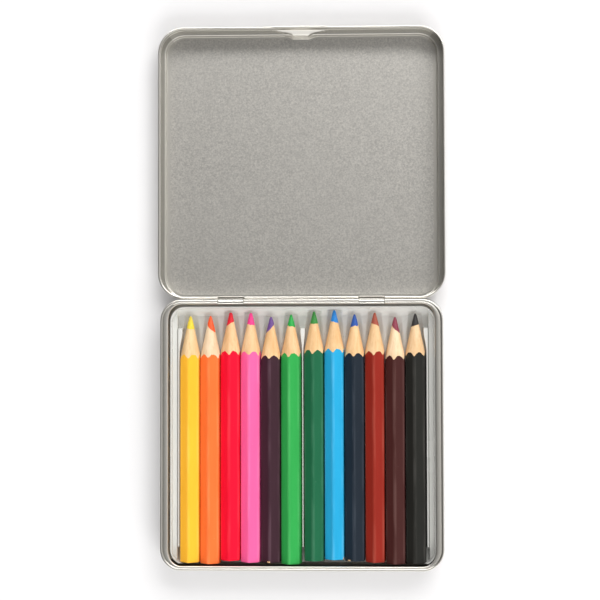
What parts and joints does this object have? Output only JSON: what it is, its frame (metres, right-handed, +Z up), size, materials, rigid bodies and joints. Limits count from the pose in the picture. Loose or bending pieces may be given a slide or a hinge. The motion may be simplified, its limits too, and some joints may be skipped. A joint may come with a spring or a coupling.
{
  "type": "colored pencil tin",
  "caption": "Flat hinged tinplate pencil tin lying open, with a formed plastic tray holding a row of sharpened hexagonal half-length colored pencils.",
  "frame": {"origin": "middle of the underside of the whole open tin", "axes": "+Y from the base across the hinge to the open lid, +Z up out of the tray, +X to the right with the lid away from the viewer"},
  "size_m": [0.1026, 0.194, 0.0093],
  "materials": {
    "tinplate": "satin bare tinplate",
    "tray": "semi-gloss vacuum-formed sheet",
    "casing_01": "yellow lacquer over bare wood ends",
    "casing_02": "orange lacquer over bare wood ends",
    "casing_03": "red lacquer over bare wood ends",
    "casing_04": "pink lacquer over bare wood ends",
    "casing_05": "plum lacquer over bare wood ends",
    "casing_06": "mid green lacquer over bare wood ends",
    "casing_07": "dark green lacquer over bare wood ends",
    "casing_08": "light blue lacquer over bare wood ends",
    "casing_09": "navy lacquer over bare wood ends",
    "casing_10": "rust brown lacquer over bare wood ends",
    "casing_11": "maroon brown lacquer over bare wood ends",
    "casing_12": "black lacquer over bare wood ends",
    "core_01": "waxy colored core",
    "core_02": "waxy colored core",
    "core_03": "waxy colored core",
    "core_04": "waxy colored core",
    "core_05": "waxy colored core",
    "core_06": "waxy colored core",
    "core_07": "waxy colored core",
    "core_08": "waxy colored core",
    "core_09": "waxy colored core",
    "core_10": "waxy colored core",
    "core_11": "waxy colored core",
    "core_12": "waxy colored core"
  },
  "bodies": {
    "base": {"base_shell": "tinplate"},
    "lid": {"lid_shell": "tinplate"},
    "tray": {"tray": "tray"},
    "pencil_01": {"casing_01": "casing_01", "core_01": "core_01"},
    "pencil_02": {"casing_02": "casing_02", "core_02": "core_02"},
    "pencil_03": {"casing_03": "casing_03", "core_03": "core_03"},
    "pencil_04": {"casing_04": "casing_04", "core_04": "core_04"},
    "pencil_05": {"casing_05": "casing_05", "core_05": "core_05"},
    "pencil_06": {"casing_06": "casing_06", "core_06": "core_06"},
    "pencil_07": {"casing_07": "casing_07", "core_07": "core_07"},
    "pencil_08": {"casing_08": "casing_08", "core_08": "core_08"},
    "pencil_09": {"casing_09": "casing_09", "core_09": "core_09"},
    "pencil_10": {"casing_10": "casing_10", "core_10": "core_10"},
    "pencil_11": {"casing_11": "casing_11", "core_11": "core_11"},
    "pencil_12": {"casing_12": "casing_12", "core_12": "core_12"}
  },
  "joints": [
    {"name": "lid_hinge", "type": "hinge", "parent": "base", "child": "lid", "pos_m": [0, -0.0006, 0.0062], "axis": [-1, 0, 0], "range_deg": [-180, 0]},
    {"name": "tray_lift", "type": "slide", "parent": "base", "child": "tray", "axis": [0, 0, 1], "range_m": [0, 0.015]},
    {"name": "pencil_lift_01", "type": "slide", "parent": "tray", "child": "pencil_01", "axis": [0, 0, 1], "range_m": [0, 0.02]},
    {"name": "pencil_lift_02", "type": "slide", "parent": "tray", "child": "pencil_02", "axis": [0, 0, 1], "range_m": [0, 0.02]},
    {"name": "pencil_lift_03", "type": "slide", "parent": "tray", "child": "pencil_03", "axis": [0, 0, 1], "range_m": [0, 0.02]},
    {"name": "pencil_lift_04", "type": "slide", "parent": "tray", "child": "pencil_04", "axis": [0, 0, 1], "range_m": [0, 0.02]},
    {"name": "pencil_lift_05", "type": "slide", "parent": "tray", "child": "pencil_05", "axis": [0, 0, 1], "range_m": [0, 0.02]},
    {"name": "pencil_lift_06", "type": "slide", "parent": "tray", "child": "pencil_06", "axis": [0, 0, 1], "range_m": [0, 0.02]},
    {"name": "pencil_lift_07", "type": "slide", "parent": "tray", "child": "pencil_07", "axis": [0, 0, 1], "range_m": [0, 0.02]},
    {"name": "pencil_lift_08", "type": "slide", "parent": "tray", "child": "pencil_08", "axis": [0, 0, 1], "range_m": [0, 0.02]},
    {"name": "pencil_lift_09", "type": "slide", "parent": "tray", "child": "pencil_09", "axis": [0, 0, 1], "range_m": [0, 0.02]},
    {"name": "pencil_lift_10", "type": "slide", "parent": "tray", "child": "pencil_10", "axis": [0, 0, 1], "range_m": [0, 0.02]},
    {"name": "pencil_lift_11", "type": "slide", "parent": "tray", "child": "pencil_11", "axis": [0, 0, 1], "range_m": [0, 0.02]},
    {"name": "pencil_lift_12", "type": "slide", "parent": "tray", "child": "pencil_12", "axis": [0, 0, 1], "range_m": [0, 0.02]}
  ]
}
